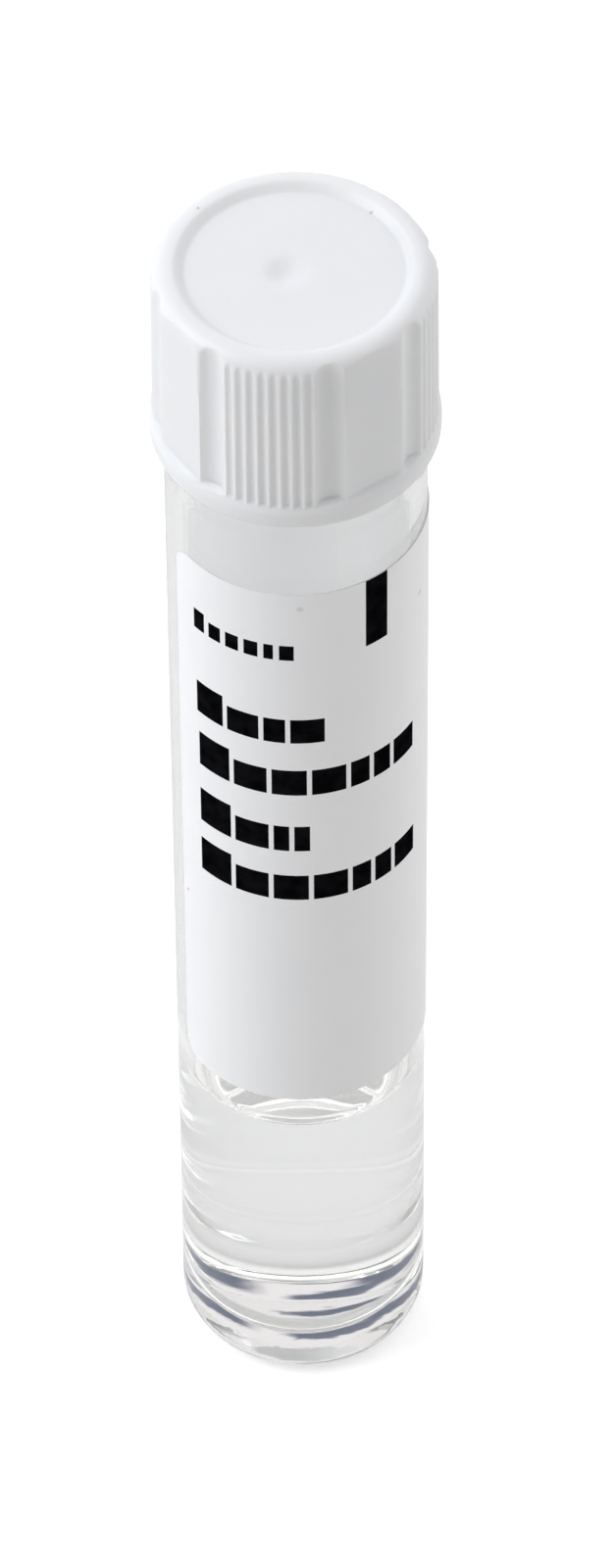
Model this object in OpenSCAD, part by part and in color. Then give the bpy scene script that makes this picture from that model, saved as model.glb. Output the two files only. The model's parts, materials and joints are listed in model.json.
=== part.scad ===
// Screw-capped round test cell: a flat-bottomed glass tube with a hollowed underside,
// part filled with clear liquid, wearing a wrap-round label and a moulded screw cap with
// a sealing disc inside it.
// Millimetres, +Z up. The origin is the centre of the underside, and -Y is the front,
// where the label carries its printed field. Angles round the tube count from the
// front and grow towards +X.

/* [Glass tube] */
// Outside diameter of the tube
tube_d = 16; // [13:0.5:24]
// Thickness of the tube's wall
tube_wall = 1; // [0.8:0.1:1.4]
// Height of the glass from its underside to the lip
tube_h = 92.1; // [75:0.1:130]
// Height of the inner floor over the surface that the tube stands on
base_t = 1.8; // [1.6:0.1:4]
// Radius of the outer corner round the underside
base_corner_r = 1.8; // [0.8:0.1:2.5]
// Height of the shallow hollow under the base
base_hollow = 0.7; // [0.3:0.05:1]
// Width of the flat ring that the base stands on
foot_ring_w = 0.6; // [0.4:0.1:1]
// Radius of the large inner corner between wall and floor
floor_corner_r = 4.5; // [2:0.1:5]

/* [Glass neck] */
// How far the threaded neck is set in from the tube's outside
neck_inset = 1.1; // [0.9:0.1:1.4]
// Thickness of the glass at the neck
neck_wall = 1.3; // [1:0.1:1.6]
// How far below the cap's foot the shoulder starts to draw in
shoulder_show = 2.4; // [1.5:0.1:6]
// Radius of the outer shoulder curve
shoulder_r = 14; // [10:0.5:16]
// Radius of the inner shoulder curve
shoulder_inner_r = 11; // [8:0.5:13]
// Rounding of the lip's edges
lip_round = 0.3; // [0.1:0.05:0.4]

/* [Screw cap] */
// Length of skirt below the sealing disc
skirt_l = 11; // [9:0.1:14]
// Gap between the glass neck and the cap's bore, which the threads fill
thread_room = 0.75; // [0.6:0.05:0.9]
// Wall of the cap at its top, over the bore
cap_wall = 0.92; // [0.8:0.02:1.4]
// How much wider the skirt is at its foot than at its shoulder
cap_draft = 0.09; // [0:0.01:0.2]
// Thickness of the panel that closes the cap
cap_panel_t = 1.5; // [1:0.1:2.5]
// Height of the rim's crest over the sunk top
rim_h = 1.05; // [0.9:0.05:1.3]
// Radius of the cap's rounded outer shoulder
cap_round = 1.15; // [0.9:0.05:1.15]
// Width of the rim's rounded inner lip
rim_lip_w = 0.57; // [0.45:0.01:0.6]
// Radius of the cove round the sunk top
cove_r = 0.8; // [0.5:0.05:0.85]
// How far the foot flange stands out from the skirt
flange_out = 0.16; // [0.1:0.02:0.4]
// Height of the foot flange
flange_h = 1.6; // [1.2:0.1:2.2]
// Rounding of the flange's lower edge
flange_round = 0.45; // [0.2:0.05:0.6]
// Clearance round the glass shoulder inside the flange
foot_clearance = 0.15; // [0.1:0.05:0.25]
// Depth of the widened mouth inside the skirt
mouth_depth = 2; // [1.2:0.1:2.6]
// Radius of the gate dimple in the middle of the top
dimple_r = 1.2; // [0.6:0.1:1.4]
// Depth of the gate dimple
dimple_depth = 0.22; // [0.1:0.02:0.4]

/* [Cap grip] */
// Number of equal grip fields round the cap
grip_fields = 4; // [2:1:5]
// Direction of the first field's middle, from the front
grip_angle = -10.7; // [-45:0.1:45]
// Number of fine grooves in a field
groove_n = 8; // [4:1:10]
// Spacing of the fine grooves, in degrees
groove_pitch = 4.68; // [3:0.01:5.5]
// Width of a fine groove
groove_w = 0.44; // [0.3:0.02:0.5]
// Depth of a fine groove
groove_depth = 0.2; // [0.1:0.02:0.3]
// Width of the broad flute on each side of a field, in degrees
flute_span = 12.3; // [8:0.1:14]
// Depth of the broad flute
flute_depth = 0.34; // [0.1:0.02:0.4]

/* [Sealing disc] */
// Thickness of the sealing disc
liner_t = 1.5; // [1:0.1:2.5]
// Clearance between the sealing disc and the cap's bore
liner_clearance = 0.15; // [0.1:0.05:0.3]

/* [Label] */
// Height of the label's lower edge over the underside
label_z = 28.7; // [20:0.1:40]
// Clear glass between the cap and the label's upper edge
label_gap = 6.5; // [3:0.1:15]
// Direction of the label's first edge, from the front
label_angle = -64; // [-90:1:-40]
// How far the label reaches round the tube, in degrees
label_span = 322; // [180:1:340]
// Thickness of the label
label_t = 0.08; // [0.05:0.01:0.15]
// Adhesive gap between label and glass
label_glue = 0.01; // [0.01:0.01:0.05]
// Radius of the label's corners
label_corner_r = 1.5; // [0.5:0.1:3]

/* [Liquid] */
// Height of the liquid's level over the underside
liquid_level = 24.8; // [18:0.1:60]
// Radius of the curve where the liquid climbs the glass
meniscus_r = 1.2; // [1:0.1:2]
// How far the liquid climbs the glass
meniscus_h = 0.8; // [0.3:0.1:0.9]
// Clearance between the liquid and the glass
liquid_clearance = 0.02; // [0.01:0.01:0.05]

/* [Hidden] */
$fn = 96;
over = 1; // how far a cut runs past what it cuts
front = -90; // direction of the front, from +X

// Glass
tube_r = tube_d / 2;
bore_r = tube_r - tube_wall;
neck_r = tube_r - neck_inset;
neck_bore_r = neck_r - neck_wall;
cap_foot_z = tube_h + liner_t - skirt_l;
shoulder_z = cap_foot_z - shoulder_show;
foot_r = tube_r - base_corner_r - foot_ring_w;
hollow_r = arc_radius(2 * foot_r, base_hollow);

// Cap
disc_r = neck_r + thread_room - liner_clearance;
cap_bore_r = neck_r + thread_room;
cap_r = cap_bore_r + cap_wall;
ceiling_z = tube_h + liner_t;
sunk_top_z = ceiling_z + cap_panel_t;
crest_z = sunk_top_z + rim_h;
round_z = crest_z - cap_round;
crest_r = cap_r - cap_round;
sunk_r = crest_r - rim_lip_w;
lip_drop = rim_h - cove_r;
lip_curve_r = arc_radius(2 * rim_lip_w, lip_drop);
skirt_foot_r = cap_r + cap_draft;
flange_r = skirt_foot_r + flange_out;
mouth_r = tube_r + foot_clearance;
dimple_curve_r = arc_radius(2 * dimple_r, dimple_depth);

// Grip: the flats fill what the grooves and flutes leave
field_span = groove_n * groove_pitch;
flat_span = 360 / grip_fields - field_span - 2 * flute_span;
flute_w = 2 * cap_r * sin(flute_span / 2);
flute_curve_r = arc_radius(flute_w, flute_depth);
groove_curve_r = arc_radius(groove_w, groove_depth);
grip_h = crest_z - cap_foot_z - flange_h;

// Label
label_r = tube_r + label_glue;
label_h = cap_foot_z - label_gap - label_z;
corner_ease = 1.02; // the corner arc is a little wide, so that it crosses the edges cleanly

// Radius of the arc that rises by a given height over a given chord
function arc_radius(chord, rise) = (chord * chord / 4 + rise * rise) / (2 * rise);

// Turns a shape built along +X to a direction counted from the front
module facing(angle) rotate([0, 0, front + angle]) children();

// Keeps the part of a profile that lies on the positive side of the axis
module half_profile() intersection() {
    children();
    translate([0, -over]) square([2 * tube_r, tube_h + 2 * over + crest_z]);
}

// One side of a shoulder: a straight tube up to shoulder_z, then an arc drawing in
// from it until it meets the neck
module drawn_in(radius, curve_r, from_z, to_z) {
    translate([0, from_z]) square([radius, shoulder_z - from_z]);
    intersection() {
        translate([radius - curve_r, shoulder_z]) circle(curve_r);
        translate([0, shoulder_z]) square([radius, to_z - shoulder_z]);
    }
}

// The hollow of the tube, shrunk by a gap all round
module bore_profile(gap, top_z) {
    floor_z = base_t + gap;
    corner_r = floor_corner_r - gap;
    translate([0, floor_z]) square([bore_r - floor_corner_r, top_z - floor_z]);
    translate([0, base_t + floor_corner_r])
        square([bore_r - gap, min(top_z, shoulder_z) - base_t - floor_corner_r]);
    translate([bore_r - floor_corner_r, base_t + floor_corner_r]) circle(corner_r);
}

// Lip corners: the square edge outside a quarter round
module lip_corner(side)
    translate([neck_bore_r + neck_wall / 2, tube_h])
        mirror([side, 0]) translate([neck_wall / 2, 0]) difference() {
            translate([-lip_round, -lip_round]) square(lip_round + over);
            translate([-lip_round, -lip_round]) circle(lip_round);
        }

// Glass: the tube, its hollowed base and its narrower neck in one piece
module glass_tube() color([0.82, 0.92, 0.90, 0.45]) rotate_extrude() half_profile()
    difference() {
        union() {
            square([tube_r - base_corner_r, shoulder_z]);
            translate([tube_r - base_corner_r, base_corner_r]) circle(base_corner_r);
            drawn_in(tube_r, shoulder_r, base_corner_r, tube_h);
            translate([0, shoulder_z]) square([neck_r, tube_h - shoulder_z]);
        }
        bore_profile(0, shoulder_z);
        drawn_in(bore_r, shoulder_inner_r, base_t + floor_corner_r, tube_h);
        translate([0, shoulder_z]) square([neck_bore_r, tube_h - shoulder_z + over]);
        translate([0, base_hollow - hollow_r]) circle(hollow_r);
        lip_corner(0);
        lip_corner(1);
    }

// Section of the cap before its grip is cut
module cap_profile() difference() {
    union() {
        polygon([[0, cap_foot_z], [skirt_foot_r, cap_foot_z], [cap_r, round_z], [0, round_z]]);
        translate([crest_r, round_z]) circle(cap_round);
        translate([0, round_z]) square([crest_r, crest_z - lip_curve_r - round_z]);
        translate([crest_r, crest_z - lip_curve_r]) circle(lip_curve_r);
        flange_profile();
    }
    translate([0, sunk_top_z]) square([sunk_r - cove_r, rim_h + over]);
    translate([sunk_r - cove_r, sunk_top_z + cove_r]) circle(cove_r);
    translate([0, sunk_top_z + cove_r]) square([sunk_r, rim_h + over]);
    translate([0, cap_foot_z - over]) square([cap_bore_r, skirt_l + over]);
    translate([0, cap_foot_z - over]) square([mouth_r, mouth_depth + over]);
}

// Foot flange: a low collar with a rounded lower edge and a sloped upper one
module flange_profile() {
    slope_h = 2 * flange_out;
    translate([0, cap_foot_z]) square([flange_r - flange_round, flange_h - slope_h]);
    translate([flange_r - flange_round, cap_foot_z + flange_round]) circle(flange_round);
    translate([0, cap_foot_z + flange_round])
        square([flange_r, flange_h - slope_h - flange_round]);
    translate([0, cap_foot_z + flange_h - slope_h])
        polygon([[0, 0], [flange_r, 0], [flange_r - flange_out, slope_h], [0, slope_h]]);
}

// A round-bottomed channel down the skirt, of a given curve and depth
module channel(angle, curve_r, depth, chord)
    facing(angle)
        translate([sqrt(cap_r * cap_r - chord * chord / 4) - depth + curve_r, 0,
                   cap_foot_z + flange_h])
            cylinder(r = curve_r, h = grip_h + over);

// A flat panel down the skirt
module flat(angle)
    facing(angle)
        translate([cap_r * cos(flat_span / 2), -tube_r, cap_foot_z + flange_h])
            cube([over + flange_r, 2 * tube_r, grip_h + over]);

// Grip: fields of fine grooves between two broad flutes, with flat panels between
module grip() for (field = [0 : grip_fields - 1]) {
    middle = grip_angle + field * 360 / grip_fields;
    for (i = [0 : groove_n - 1])
        channel(middle + (i - (groove_n - 1) / 2) * groove_pitch,
                groove_curve_r, groove_depth, groove_w);
    for (side = [-1, 1])
        channel(middle + side * (field_span + flute_span) / 2,
                flute_curve_r, flute_depth, flute_w);
    flat(middle + 180 / grip_fields);
}

module screw_cap() color([0.95, 0.95, 0.94]) difference() {
    rotate_extrude() half_profile() cap_profile();
    grip();
    translate([0, 0, sunk_top_z - dimple_depth + dimple_curve_r]) sphere(dimple_curve_r);
}

// Sealing disc: lies between the glass lip and the cap's ceiling
module sealing_disc() color([0.90, 0.89, 0.84])
    translate([0, 0, tube_h]) cylinder(r = disc_r, h = liner_t);

// The square corner outside the label's rounded one, cut through the sleeve
module label_corner(up)
    translate([label_r - over, 0, up ? label_z + label_h : label_z])
        mirror([0, 0, up ? 1 : 0]) rotate([90, 0, 90]) linear_extrude(2 * over)
            difference() {
                translate([-over, -over]) square(label_corner_r + over);
                translate([label_corner_r, label_corner_r]) circle(corner_ease * label_corner_r);
            }

// Label: a thin sleeve open at the back left, with rounded corners
module label() color([0.97, 0.97, 0.97]) facing(label_angle) difference() {
    rotate_extrude(angle = label_span)
        translate([label_r, label_z]) square([label_t, label_h]);
    for (up = [false, true]) {
        label_corner(up);
        rotate([0, 0, label_span]) mirror([0, 1, 0]) label_corner(up);
    }
}

// Liquid: fills the hollow up to its level and climbs the glass a little
module liquid() color([0.80, 0.90, 0.92, 0.5]) rotate_extrude() half_profile()
    difference() {
        bore_profile(liquid_clearance, liquid_level + meniscus_h);
        translate([0, liquid_level])
            square([bore_r - liquid_clearance - meniscus_r, meniscus_h + over]);
        translate([bore_r - liquid_clearance - meniscus_r, liquid_level + meniscus_r])
            circle(meniscus_r);
    }

glass_tube();
screw_cap();
sealing_disc();
label();
liquid();
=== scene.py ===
# %% [markdown]
# # A round test cuvette
# A round test cuvette is a small glass tube with a screw cap. A clear liquid stands in
# its lower third, a white label wraps most of its wall, and a sealing disc lies between
# the glass lip and the cap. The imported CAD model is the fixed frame: it gives the sizes,
# and every surface made here goes where the frame says. Each piece's outline is made
# again as a finer surface, because clear glass and soft moulded edges show every facet.

# %% Load the frame
import json
import math
import bpy
import numpy as np
from mathutils import Matrix, Vector


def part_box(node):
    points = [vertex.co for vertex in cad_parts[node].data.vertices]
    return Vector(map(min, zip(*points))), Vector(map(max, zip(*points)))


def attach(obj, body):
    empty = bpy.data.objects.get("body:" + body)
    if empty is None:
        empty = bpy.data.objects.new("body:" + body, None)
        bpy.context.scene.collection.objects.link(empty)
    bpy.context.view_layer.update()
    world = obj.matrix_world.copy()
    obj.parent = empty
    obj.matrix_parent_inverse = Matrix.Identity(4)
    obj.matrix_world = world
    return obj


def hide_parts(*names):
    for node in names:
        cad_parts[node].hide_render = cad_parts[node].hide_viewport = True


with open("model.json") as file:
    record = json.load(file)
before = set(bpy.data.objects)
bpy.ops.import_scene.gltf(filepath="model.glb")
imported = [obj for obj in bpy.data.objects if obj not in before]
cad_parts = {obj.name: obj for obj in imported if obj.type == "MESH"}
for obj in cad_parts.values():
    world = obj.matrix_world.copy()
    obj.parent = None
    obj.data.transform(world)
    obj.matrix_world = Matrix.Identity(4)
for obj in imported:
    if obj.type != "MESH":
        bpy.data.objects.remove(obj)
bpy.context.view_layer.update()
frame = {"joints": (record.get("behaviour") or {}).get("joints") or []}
MM = 0.001  # metres; sizes below are in millimetres unless said
tube_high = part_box("glass_tube")[1] / MM
cap_low, cap_high = (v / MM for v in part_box("screw_cap"))
disc_low, disc_high = (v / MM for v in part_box("sealing_disc"))
label_low, label_high = (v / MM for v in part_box("label"))
print("tube", round(tube_high.x * 2, 2), "mm across,", round(tube_high.z, 2), "mm high")
print("cap from", round(cap_low.z, 2), "to", round(cap_high.z, 2), "mm")

# %% [markdown]
# ## How a surface becomes a mesh
# Nearly every piece here was spun, blown or moulded round one axis. So each is a grid of
# points: rows follow the piece's section, and columns go round the axis. Blender's Spin
# tool or a Screw modifier could turn a section too, but a grid worked out with numpy lets
# the radius change with the angle, which threads and grip grooves need, and lets each
# row carry its own material.

# %% Grid helpers
FRONT = -math.pi / 2  # the front is -Y; angles grow towards +X
FULL_TURN = 2 * math.pi
SAME_PLACE = 1e-9  # metres; points nearer than this are one point
HARDLY = 1e-6  # a difference in mm too small to matter


def arc(centre, radius, start, end, steps):
    """Points of a section's arc: centre plus radius times (cosine, sine) of each angle."""
    turn = np.radians(np.linspace(start, end, steps))
    return np.column_stack([centre[0] + radius * np.cos(turn),
                            centre[1] + radius * np.sin(turn)])


def line(start, end, steps):
    """Points of a section's straight stretch: start plus even shares of the way to end."""
    share = np.linspace(0, 1, steps)[:, None]
    return np.array(start, float) * (1 - share) + np.array(end, float) * share


def arc_radius(chord, rise):
    """Radius of the arc that rises by a given height over a chord:
    a quarter of the chord squared plus the rise squared, over twice the rise."""
    return (chord * chord / 4 + rise * rise) / (2 * rise)


def spun(section, angles, reach=None):
    """Carries a section (radius, height) round the axis: x = r cos a, y = r sin a.
    reach(r, z, a), if given, returns the radius of each point in place of r."""
    r = np.broadcast_to(section[:, :1], (len(section), len(angles)))
    z = np.broadcast_to(section[:, 1:], r.shape)
    a = np.broadcast_to(angles, r.shape)
    if reach is not None:
        r = reach(r, z, a)
    return np.stack([r * np.cos(a), r * np.sin(a), z], -1) * MM


def new_object(name, data):
    """An object that shows a mesh, lamp or camera in the scene."""
    shown = bpy.data.objects.new(name, data)
    bpy.context.scene.collection.objects.link(shown)
    return shown


def add_piece(name, points, faces, slots, materials, crease):
    """Puts points, faces and each face's material slot into a new smooth object."""
    mesh = bpy.data.meshes.new(name)
    mesh.from_pydata(points.reshape(-1, 3).tolist(), [], faces)
    for material in materials:
        mesh.materials.append(material)
    mesh.polygons.foreach_set("material_index", np.asarray(slots, np.int32))
    mesh.polygons.foreach_set("use_smooth", np.ones(len(faces), bool))
    mesh.set_sharp_from_angle(angle=math.radians(crease))
    mesh.update()
    print(name, len(mesh.vertices), "points,", len(mesh.polygons), "faces")
    return new_object(name, mesh)


def grid_mesh(name, points, crease, materials, row_slots=None, ends=False):
    """Makes a mesh object from a grid of points (rows, columns, 3). Each cell of four
    neighbours is one face, and the last column joins the first. A row whose points all
    coincide, as on the axis, is merged to one point, and its cells become triangles.
    row_slots gives each row's cells a material slot. ends adds a flat face at each end."""
    rows, cols = points.shape[:2]
    index = np.arange(rows * cols).reshape(rows, cols)
    on_axis = np.ptp(points, axis=1).max(1) < SAME_PLACE
    index[on_axis] = index[on_axis, :1]
    beside = np.roll(index, -1, 1)
    cells = np.stack([index[:-1], beside[:-1], beside[1:], index[1:]], -1).reshape(-1, 4)
    by_row = np.zeros(rows, int) if row_slots is None else np.asarray(row_slots)
    slots = np.repeat(by_row[:rows - 1], cols)
    fan_up = cells[:, 0] == cells[:, 1]
    fan_down = cells[:, 2] == cells[:, 3]
    whole = ~(fan_up | fan_down)
    used, renamed = np.unique(cells, return_inverse=True)
    renamed = renamed.reshape(cells.shape)
    faces = (renamed[whole].tolist() + renamed[fan_up][:, [0, 2, 3]].tolist()
             + renamed[fan_down][:, [0, 1, 2]].tolist())
    slots = np.concatenate([slots[whole], slots[fan_up], slots[fan_down]])
    if ends:
        faces += [list(range(cols))[::-1], list(range((rows - 1) * cols, rows * cols))]
        slots = np.concatenate([slots, [0, 0]])
    return add_piece(name, points.reshape(-1, 3)[used], faces, slots, materials, crease)


def even_turn(count):
    """Angles that divide a full turn evenly."""
    return np.linspace(0, FULL_TURN, count, endpoint=False)


def smoothstep(low, high, value):
    """Eases from 0 at low to 1 at high: 3 t squared less 2 t cubed."""
    t = np.clip((value - low) / (high - low), 0, 1)
    return t * t * (3 - 2 * t)


def smaller(a, b, ease):
    """The smaller of two fields, with the corner between them eased:
    half of (a + b - root of ((a - b) squared + 4 ease squared))."""
    return 0.5 * (a + b - np.sqrt((a - b) ** 2 + 4 * ease * ease))


# %% [markdown]
# ## The camera
# The cuvette is seen from in front and well above, from about six tenths of a metre. A
# long lens from there keeps the tube's sides nearly parallel, with a slight taper
# towards the foot. The pose is written as a tilt and a small roll, so it can be read.

# %% Camera
CAMERA_PLACE = (0.449, -386.079, 482.979)  # mm from the centre of the underside
CAMERA_DOWN = math.radians(48.277)
CAMERA_ROLL = math.radians(-0.48)
LENS, SENSOR = 211.688, 36
CLOSEST = 0.01  # metres; nothing nearer is shown

camera_data = bpy.data.cameras.new("studio_camera")
camera_data.lens = LENS
camera_data.sensor_width = SENSOR
camera_data.clip_start = CLOSEST
camera = new_object("studio_camera", camera_data)
camera.matrix_world = (Matrix.Translation(Vector(CAMERA_PLACE) * MM)
                       @ Matrix.Rotation(math.pi / 2 - CAMERA_DOWN, 4, "X")
                       @ Matrix.Rotation(CAMERA_ROLL, 4, "Z"))
bpy.context.scene.camera = camera
print("camera", [round(v, 4) for v in camera.location])

# %% [markdown]
# ## Shared effects
# Moulded plastic, printed film, rubber and blown glass are all a little uneven. Three
# effects serve them all, so each is a node group: a soft unevenness for bumps and
# tints, a fine grain, and scattered specks of dust. Each group only puts out numbers,
# and each material decides what they do.

# %% Node helpers
def new_group(name, inputs, outputs):
    """Starts a shader node group with named number inputs and outputs. Returns it, the
    sockets that give its inputs, and those that take its outputs."""
    group = bpy.data.node_groups.new(name, "ShaderNodeTree")
    for label, value in inputs:
        socket = group.interface.new_socket(label, in_out="INPUT", socket_type="NodeSocketFloat")
        socket.default_value = value
    for label in outputs:
        group.interface.new_socket(label, in_out="OUTPUT", socket_type="NodeSocketFloat")
    return (group, group.nodes.new("NodeGroupInput").outputs,
            group.nodes.new("NodeGroupOutput").inputs)


def math_node(tree, operation, first, second=None):
    """A Math node on two values, each a socket or a number. Returns its output."""
    node = tree.nodes.new("ShaderNodeMath")
    node.operation = operation
    for slot, value in enumerate((first, second)):
        if value is None:
            continue
        if isinstance(value, (int, float)):
            node.inputs[slot].default_value = value
        else:
            tree.links.new(value, node.inputs[slot])
    return node.outputs[0]


def vector_node(tree, operation, first, second=None):
    """A Vector Math node on a socket and a plain vector. Returns its number output."""
    node = tree.nodes.new("ShaderNodeVectorMath")
    node.operation = operation
    tree.links.new(first, node.inputs[0])
    if second is not None:
        node.inputs[1].default_value = second
    return node.outputs["Value"]


def eased(tree, value, low, high, to_low=0.0, to_high=1.0):
    """A Map Range node that eases a value from one range to another."""
    node = tree.nodes.new("ShaderNodeMapRange")
    node.interpolation_type = "SMOOTHSTEP"
    tree.links.new(value, node.inputs["Value"])
    for socket, number in (("From Min", low), ("From Max", high),
                           ("To Min", to_low), ("To Max", to_high)):
        node.inputs[socket].default_value = number
    return node.outputs["Result"]


def place(tree):
    """The Object coordinates of the surface, in metres."""
    return tree.nodes.new("ShaderNodeTexCoord").outputs["Object"]


# %% Uneven surface, fine grain and specks
FINER_SCALE, FINER_WEIGHT = 3.1, 0.33
EVENED = 0.75  # brings the sum back to about 0 to 1


def noise_node(group, scale):
    """A Noise Texture on Object coordinates at a scale that is linked in."""
    noise = group.nodes.new("ShaderNodeTexNoise")
    group.links.new(place(group), noise.inputs["Vector"])
    group.links.new(scale, noise.inputs["Scale"])
    return noise


def make_uneven():
    """Two layers of soft noise, the finer one at a third weight. Height is their sum,
    and Tint is the first layer, eased towards 0 and 1."""
    group, given, out = new_group("uneven_surface", [("Scale", 300.0), ("Detail", 2.0)],
                                  ["Height", "Tint"])
    noise = noise_node(group, given["Scale"])
    group.links.new(given["Detail"], noise.inputs["Detail"])
    finer = noise_node(group, math_node(group, "MULTIPLY", given["Scale"],
                                        FINER_SCALE))
    height = math_node(group, "ADD", noise.outputs["Fac"],
                       math_node(group, "MULTIPLY", finer.outputs["Fac"], FINER_WEIGHT))
    group.links.new(math_node(group, "MULTIPLY", height, EVENED), out["Height"])
    group.links.new(eased(group, noise.outputs["Fac"], 0.3, 0.7), out["Tint"])
    return group


def make_grain():
    """Fine noise, as on a mould's spark-eroded face: height 0 to 1."""
    group, given, out = new_group("fine_grain", [("Scale", 6000.0)], ["Height"])
    noise = noise_node(group, given["Scale"])
    noise.inputs["Detail"].default_value = 3.0
    noise.inputs["Roughness"].default_value = 0.6
    group.links.new(noise.outputs["Fac"], out["Height"])
    return group


def make_specks():
    """Scattered small spots: 1 near a random cell's middle in a few cells, else 0."""
    group, given, out = new_group("specks", [("Scale", 400.0), ("Size", 0.1),
                                             ("Share", 0.03)], ["Mask"])
    cells = group.nodes.new("ShaderNodeTexVoronoi")
    group.links.new(place(group), cells.inputs["Vector"])
    group.links.new(given["Scale"], cells.inputs["Scale"])
    near = math_node(group, "LESS_THAN", cells.outputs["Distance"], given["Size"])
    split = group.nodes.new("ShaderNodeSeparateColor")
    group.links.new(cells.outputs["Color"], split.inputs["Color"])
    few = math_node(group, "LESS_THAN", split.outputs["Red"], given["Share"])
    group.links.new(math_node(group, "MULTIPLY", near, few), out["Mask"])
    return group


UNEVEN = make_uneven()
GRAIN = make_grain()
SPECKS = make_specks()
print("shared effects:", [g.name for g in (UNEVEN, GRAIN, SPECKS)])

# %% Helpers that put effects into a material
SPOT_CORE = 0.4  # share of a spot's radius that has its full weight


def use_group(tree, group, **values):
    """Places a shared effect in a material with its own values. Returns its outputs."""
    node = tree.nodes.new("ShaderNodeGroup")
    node.node_tree = group
    for label, value in values.items():
        node.inputs[label].default_value = value
    return node.outputs


def tinted(tree, factor, first, second):
    """Mixes two colours by a factor. Either may be a socket. The colour sockets of a Mix
    node are its inputs 6 and 7 and its output 2."""
    node = tree.nodes.new("ShaderNodeMix")
    node.data_type = "RGBA"
    tree.links.new(factor, node.inputs["Factor"])
    for socket, colour in ((node.inputs[6], first), (node.inputs[7], second)):
        if isinstance(colour, tuple):
            socket.default_value = (*colour, 1)
        else:
            tree.links.new(colour, socket)
    return node.outputs[2]


def grey(tree, value):
    """A colour whose three parts are one and the same value."""
    colour = tree.nodes.new("ShaderNodeCombineColor")
    for socket in colour.inputs:
        tree.links.new(value, socket)
    return colour.outputs["Color"]


def bumped(tree, height, distance, below=None):
    """A Bump node: height times distance in metres. below is a bump under this one."""
    node = tree.nodes.new("ShaderNodeBump")
    node.inputs["Distance"].default_value = distance
    tree.links.new(height, node.inputs["Height"])
    if below is not None:
        tree.links.new(below, node.inputs["Normal"])
    return node.outputs["Normal"]


def marked(tree, colour, spots):
    """Lays small round marks on a colour. Each spot is (place in mm, radius in mm,
    colour, weight), and its mask eases out from its core to its radius."""
    where = place(tree)
    for centre, radius, mark, weight in spots:
        apart = vector_node(tree, "DISTANCE", where, Vector(centre) * MM)
        mask = eased(tree, apart, SPOT_CORE * radius * MM, radius * MM, weight, 0.0)
        colour = tinted(tree, mask, colour, mark)
    return colour


def start_material(name, colour, roughness, plain=()):
    """A material with its Principled BSDF. Colour, roughness and the plain pairs of input
    and value are set on it; a link takes over where one varies."""
    material = bpy.data.materials.new(name)
    material.use_nodes = True
    shader = material.node_tree.nodes["Principled BSDF"]
    shader.inputs["Base Color"].default_value = (*colour, 1)
    shader.inputs["Roughness"].default_value = roughness
    for label, value in plain:
        shader.inputs[label].default_value = value
    return material, material.node_tree, shader


def feed(shader, label, socket):
    """Links a socket to one of the shader's inputs."""
    shader.id_data.links.new(socket, shader.inputs[label])


def uneven_gloss(shader, height, low, high):
    """Roughness that eases from low to high with the height of an effect."""
    feed(shader, "Roughness", eased(shader.id_data, height, 0.2, 0.8, low, high))


# %% [markdown]
# ## Clear glass and what is wet behind it
# Light bends at a surface by the ratio of the two materials that meet there. The tube's
# outside meets air, so it takes the glass's own index. Where the inner wall is wet, it
# meets the liquid, so that band of faces takes glass over liquid, 1.473 / 1.333. The
# liquid's own side then must not bend or dim the light again, so it has index 1 and
# lets everything through. Only its top surface, which meets air, has the liquid's 1.333.
# Drawing out a tube leaves it a little wavy along and around, which shows as soft
# streaks in what is seen through it.
#
# A ray can be turned very often inside a clear foot. Cycles follows it for a set number
# of turns and then calls it black, which leaves dark streaks. So the glass itself gives
# such a ray the room's mean light where it ends.

# %% Glass material
GLASS_INDEX = 1.473
LIQUID_INDEX = 1.333
WAVE_DEPTH = 6e-6  # metres
FOOT_WAVES = 16.0  # times as deep at the foot
FOOT_EASE = (0.002, 0.005)  # metres over the underside
SMEAR_MOST = 0.015  # roughness where the wall is least clean
MIRROR_TURNS, ALL_TURNS = 4, 12  # after either, Cycles follows a ray no further
MEAN_LIGHT = 0.6
MEAN_STRENGTH = 0.48  # under a half, or Cycles takes the whole tube for a lamp


def take_mean_light(tree, shader):
    """Gives the room's mean light to a ray that has been turned so often that it ends."""
    path = tree.nodes.new("ShaderNodeLightPath")
    mirrored = math_node(tree, "GREATER_THAN", path.outputs["Glossy Depth"],
                         MIRROR_TURNS - 0.5)
    turned = math_node(tree, "GREATER_THAN", path.outputs["Ray Depth"], ALL_TURNS - 0.5)
    ending = math_node(tree, "MAXIMUM", mirrored, turned)
    light = grey(tree, math_node(tree, "MULTIPLY", ending, MEAN_LIGHT))
    feed(shader, "Emission Color", light)
    shader.inputs["Emission Strength"].default_value = MEAN_STRENGTH


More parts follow.
